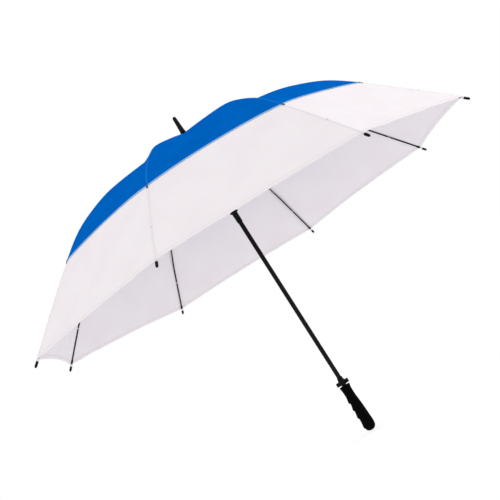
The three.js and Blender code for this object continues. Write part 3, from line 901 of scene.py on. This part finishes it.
def runner_piece():
    """Sleeve, flange, neck and slotted head, with a keyway that clears the catches."""
    low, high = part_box("runner")[0].z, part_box("runner")[1].z
    flange = FLANGE_Z
    head_low = RING_Z - 0.006
    bore = SHAFT_R + 0.0004
    core = turned(
        [
            (bore, low), (0.0066, low), (0.0069, low + 0.0005), (0.0072, low + 0.0030),
            (0.0070, low + 0.0034), (0.0070, low + 0.0042), (0.0073, low + 0.0046),
            (0.0076, flange - 0.0040), (0.0082, flange - 0.0030), (0.0110, flange - 0.0022),
            (0.0115, flange - 0.0016), (0.0115, flange + 0.0008), (0.0110, flange + 0.0014),
            (0.0086, flange + 0.0018), (0.0082, flange + 0.0026), (0.0082, head_low - 0.005),
            (0.0088, head_low - 0.0042), (0.0112, head_low - 0.001), (0.0112, high - 0.0012),
            (0.0105, high), (bore, high),
        ], 72, loop=True,
    )
    head = slotted_disc(0.0155, 0.0111, 0.0062, head_low - 0.0005, high - 0.0008, 0.0006)
    catch_low, catch_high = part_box("bottom_catch")
    keyway = (
        (catch_low.x - 0.0006, 0.0050, low - 0.001),
        (catch_high.x + 0.0006, catch_high.y + 0.0005, high + 0.001),
    )
    return make("runner_body", *joined(less_box(core, *keyway), less_box(head, *keyway)), PLASTIC)


def ring_wire(name, radius, height, wire=0.0007):
    round_wire = [2 * math.pi * j / 12 for j in range(12)]
    rings = []
    for i in range(72):
        a = 2 * math.pi * i / 72
        out = Vector((math.cos(a), math.sin(a), 0))
        rings.append([
            out * (radius + wire * math.cos(b)) + Vector((0, 0, height + wire * math.sin(b)))
            for b in round_wire
        ])
    return make(name, *skin(rings, loop=True), STEEL)


def ferrule_piece():
    """A tapered spike with a collar at its foot and a rounded end, over the shaft's top."""
    low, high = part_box("ferrule")[0].z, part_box("ferrule")[1].z
    bore, bore_top = SHAFT_R + 0.0003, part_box("shaft")[1].z + 0.0003
    profile = [
        (0, bore_top), (bore, bore_top), (bore, low), (0.0072, low),
        (0.0076, low + 0.0004), (0.0076, low + 0.0036), (0.0073, low + 0.0041),
        (0.0071, low + 0.0044), (0.0071, low + 0.0050), (0.0069, low + 0.0056),
        (0.0051, high - 0.0064), (0.0049, high - 0.0060), (0.0050, high - 0.0054),
        (0.0046, high - 0.0030), (0.0040, high - 0.0016), (0.0028, high - 0.0006),
        (0.0014, high - 0.0001), (0, high),
    ]
    return make("ferrule_cap", *turned(profile, 64), PLASTIC)


def washer_piece():
    low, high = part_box("canopy_washer")[0].z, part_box("canopy_washer")[1].z
    bore = SHAFT_R + 0.0003
    profile = [
        (bore, low), (0.0108, low), (0.0114, low + 0.0003), (0.0115, low + 0.0007),
        (0.0108, low + 0.0009), (0.0090, low + 0.0012), (0.0074, high - 0.0002), (0.0068, high),
        (bore, high),
    ]
    return make("washer_disc", *turned(profile, 64, loop=True), PLASTIC)


def collar_piece():
    """A thumb collar: a waisted hub with a wing each side, and a cone up to the pole."""
    low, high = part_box("release_collar")[0].z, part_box("release_collar")[1].z
    half_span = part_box("release_collar")[1].x
    top = low + 0.012
    bore = SHAFT_R + 0.0004
    hub = turned(
        [(bore, low), (0.0090, low), (0.0095, low + 0.0005), (0.0095, top - 0.0006),
         (0.0092, top), (0.0088, top + 0.0006), (0.0078, top + 0.0040), (0.0074, high - 0.0010),
         (0.0070, high), (bore, high)],
        64, loop=True,
    )
    wings = []
    for side in (-1, 1):
        rings = []
        for i in range(13):
            t = i / 12
            x = lerp(0.0072, half_span, t)
            end = smoothstep(t, 0.8, 1.0)
            height = lerp(0.0116, 0.0112, t) * (1 - 0.10 * end)
            depth = lerp(0.0088, 0.0082, t) * (1 - 0.14 * end)
            dish = 0.0007 * math.sin(math.pi * smoothstep(t, 0.1, 0.9))
            middle = low + 0.0060
            rings.append([(side * x, u, middle + v - (dish if v > 0 else -dish * 0.4))
                          for u, v in rounded_section(depth, height, 6, 32)][::side])
        wings.append(skin(rings))
    return make("collar_body", *joined(hub, *wings), PLASTIC)


# ---- Grip, in millimetres below its top ----
GRIP_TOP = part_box("grip")[1].z
GRIP_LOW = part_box("grip")[0].z
GRIP_PROFILE = [
    (0.0, 13.6), (0.6, 14.4), (1.5, 14.8), (3, 14.6), (7, 13.5), (11, 12.6), (19, 12.3),
    (27, 12.2), (36, 12.6), (44, 13.3), (58, 14.3), (72, 15.0), (92, 15.5), (106, 15.8),
    (113, 15.7), (118, 15.1), (122, 14.0), (125.5, 12.0), (127.6, 9.8), (129.2, 7.0), (130, 4.0),
]
FINGER_CUSPS = [42.5, 64, 85.5, 116]
CUSP_HEIGHTS = [2.4, 1.4, 1.3, 1.0]


def grip_half_width(depth):
    for (d0, w0), (d1, w1) in zip(GRIP_PROFILE, GRIP_PROFILE[1:]):
        if depth <= d1:
            return lerp(w0, w1, (depth - d0) / (d1 - d0))
    return GRIP_PROFILE[-1][1]


def finger_swell(depth):
    """Each swell rises slowly and falls away quickly, as between two fingers."""
    valley = lerp(0.6, -1.7, smoothstep(depth, 42, 50))
    best = valley
    for cusp, height in zip(FINGER_CUSPS, CUSP_HEIGHTS):
        away = depth - cusp
        if away <= 0:
            share = max(1 + away / 18, 0) ** 1.6
        else:
            share = 0.5 + 0.5 * math.cos(math.pi * min(away / 6, 1))
        best = max(best, lerp(valley, height, share))
    return best


def evened(values, passes):
    """A row of values with its corners rounded off and its ends kept."""
    for _ in range(passes):
        inner = [(a + 2 * b + c) / 4 for a, b, c in zip(values, values[1:], values[2:])]
        values = [values[0], *inner, values[-1]]
    return values


def grip_piece():
    """A moulded grip: round, with finger swells in front and a faint parting line each side."""
    count, steps = 120, 260
    length = (GRIP_TOP - GRIP_LOW) * 1000
    depths = [length * i / steps for i in range(steps + 1)]
    halves = evened([grip_half_width(d) for d in depths], 6)
    swells = evened([finger_swell(d) for d in depths], 5)
    rings = []
    for d, half, swell in zip(depths, halves, swells):
        fade = smoothstep(d, 2, 12) * (1 - smoothstep(d, 118, 126))
        ring = []
        for j in range(count):
            a = -2 * math.pi * j / count
            front = max(-math.cos(a), 0) ** 1.5
            parting = 0.00015 * math.exp(-((abs(math.sin(a)) - 1) / 0.0012) ** 2)
            r = (half + front * swell * fade) / 1000 - parting
            ring.append((r * math.cos(a), r * math.sin(a), GRIP_TOP - d / 1000))
        rings.append(ring)
    bore, bore_depth = 0.0063, 0.012
    turns = [-2 * math.pi * j / count for j in range(count)]
    lip = [[(bore * math.cos(a), bore * math.sin(a), z) for a in turns]
           for z in (GRIP_TOP - bore_depth, GRIP_TOP)]
    return make("grip_sleeve", *skin(lip + rings), RUBBER, 50)


# ---- Tie strap ----
STRAP_RIB = 3
STRAP_START = LOWER_TOP + 0.070
STRAP_REACH = 0.190 * 0.72  # its length, seen in plan
STRAP_SECTION = rounded_section(0.0198, 0.0009, 8, 40)
FASTENER_SECTION = rounded_section(0.016, 0.0009, 8, 32)


def laid(r, lift, section, narrow=1.0):
    """A flat section lying lift above the white cloth, over the rib."""
    lean = ridge_lean(r)
    return [
        Vector((
            r - (lift + v) * math.sin(lean),
            -u * narrow,
            LOWER["height"](r) + (lift + v) * math.cos(lean),
        ))
        for u, v in section
    ]


def strap_piece():
    """A flat strap with a round end and a hook-and-loop patch, over the seam on one rib."""
    end = STRAP_START + STRAP_REACH
    steps = 60
    rings = []
    for i in range(steps + 1):
        wave = 0.0004 * math.sin(i * 0.45) + 0.0003 * math.sin(i * 0.17 + 1)
        round_end = math.sqrt(max(1 - (max(i - steps + 5, 0) / 5.6) ** 2, 0.03))
        rings.append(laid(lerp(STRAP_START, end, i / steps), 0.0012 + wave, STRAP_SECTION, round_end))
    strap = spoked("strap_web", skin(rings), WHITE_RIBBON, STRAP_RIB)
    rings = []
    for i in range(21):
        wave = 0.0002 * math.sin(i * 1.1)
        rings.append(laid(lerp(end - 0.050, end - 0.010, i / 20), 0.0021 + wave, FASTENER_SECTION))
    patch = spoked("strap_fastener", skin(rings), LOOPS, STRAP_RIB)
    for obj in (strap, patch):
        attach(obj, f"flex_rib_{STRAP_RIB}")
    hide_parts("tie_strap")


# ---- What each single piece rides on, replaces and is finished in ----
for obj, body, node, slot in (
    (shaft_piece(), "pole", "shaft", "pole_black"),
    (ferrule_piece(), "pole", "ferrule", "black_plastic"),
    (washer_piece(), "pole", "canopy_washer", "black_plastic"),
    (notch_piece(), "pole", "crown_notch", "black_plastic"),
    (ring_wire("crown_wire", PIVOT_R, PIVOT[1]), "pole", "crown_ring_wire", "steel"),
    (grip_piece(), "pole", "grip", "grip_rubber"),
    (runner_piece(), "runner", "runner", "black_plastic"),
    (collar_piece(), "release_collar", "release_collar", "black_plastic"),
):
    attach(obj, body)
    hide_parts(node)

runner_wire = ring_wire("runner_wire", RING_R - 0.0004, RING_Z)
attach(runner_wire, "runner")
strap_piece()

# The catches keep their CAD shape, with a better material and eased edges.
for name in ("top_catch", "bottom_catch"):
    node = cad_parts[name]
    node.data.materials.clear()
    node.data.materials.append(STEEL)
    ease = node.modifiers.new("eased edges", "BEVEL")
    ease.width, ease.segments = 0.0003, 3

# ---- Stage ----
FLOOR_Z = cad_box[0].z - 0.001
FLOOR_REACH = 60.0
PALE_FLOOR = Shader(
    "floor", 0.9, Base_Color=(0.2, 0.2, 0.2, 1), Emission_Color=(1, 1, 1, 1), Emission_Strength=0.8
)
corners = ((-1, -1), (1, -1), (1, 1), (-1, 1))
floor = make(
    "floor",
    [(x * FLOOR_REACH, y * FLOOR_REACH, FLOOR_Z) for x, y in corners],
    [(0, 1, 2, 3)],
    PALE_FLOOR.material,
)

scene = bpy.context.scene
scene.view_settings.view_transform = "Standard"
world = bpy.data.worlds.new("studio")
world.use_nodes = True
sky = world.node_tree.nodes["Background"]
sky.inputs["Color"].default_value = (1, 1, 1, 1)
sky.inputs["Strength"].default_value = 1.0
scene.world = world


def soft_light(name, at, aim, size, power):
    data = bpy.data.lights.new(name, "AREA")
    data.shape = "DISK"
    data.size, data.energy = size, power
    lamp = bpy.data.objects.new(name, data)
    lamp.location = at
    lamp.rotation_mode = "QUATERNION"
    lamp.rotation_quaternion = (Vector(aim) - Vector(at)).to_track_quat("-Z", "Y")
    scene.collection.objects.link(lamp)


soft_light("key", (3.0, 2.2, 1.3), (0, 0, 0.65), 1.4, 34)
soft_light("fill", (0.3, -2.6, 3.0), (0, 0, 0.6), 2.0, 6)

# ---- Camera ----
CAMERA_AT = Vector((0.69589, -2.36514, 0.22438))
CAMERA_AIM = Vector((-0.01832, 0.0, 0.48814))
CAMERA_ROLL = math.radians(32.45)
CAMERA_LENS = 68.8
SENSOR_WIDTH = 36.0
forward = (CAMERA_AIM - CAMERA_AT).normalized()
level = (Vector((0, 0, 1)) - forward * forward.z).normalized()
up = level * math.cos(CAMERA_ROLL) + forward.cross(level) * math.sin(CAMERA_ROLL)
right = forward.cross(up)
camera_data = bpy.data.cameras.new("camera")
camera_data.lens = CAMERA_LENS
camera_data.sensor_width = SENSOR_WIDTH
camera = bpy.data.objects.new("camera", camera_data)
turn = Matrix((right, up, -forward)).transposed().to_4x4()
camera.matrix_world = Matrix.Translation(CAMERA_AT) @ turn
scene.collection.objects.link(camera)
scene.camera = camera
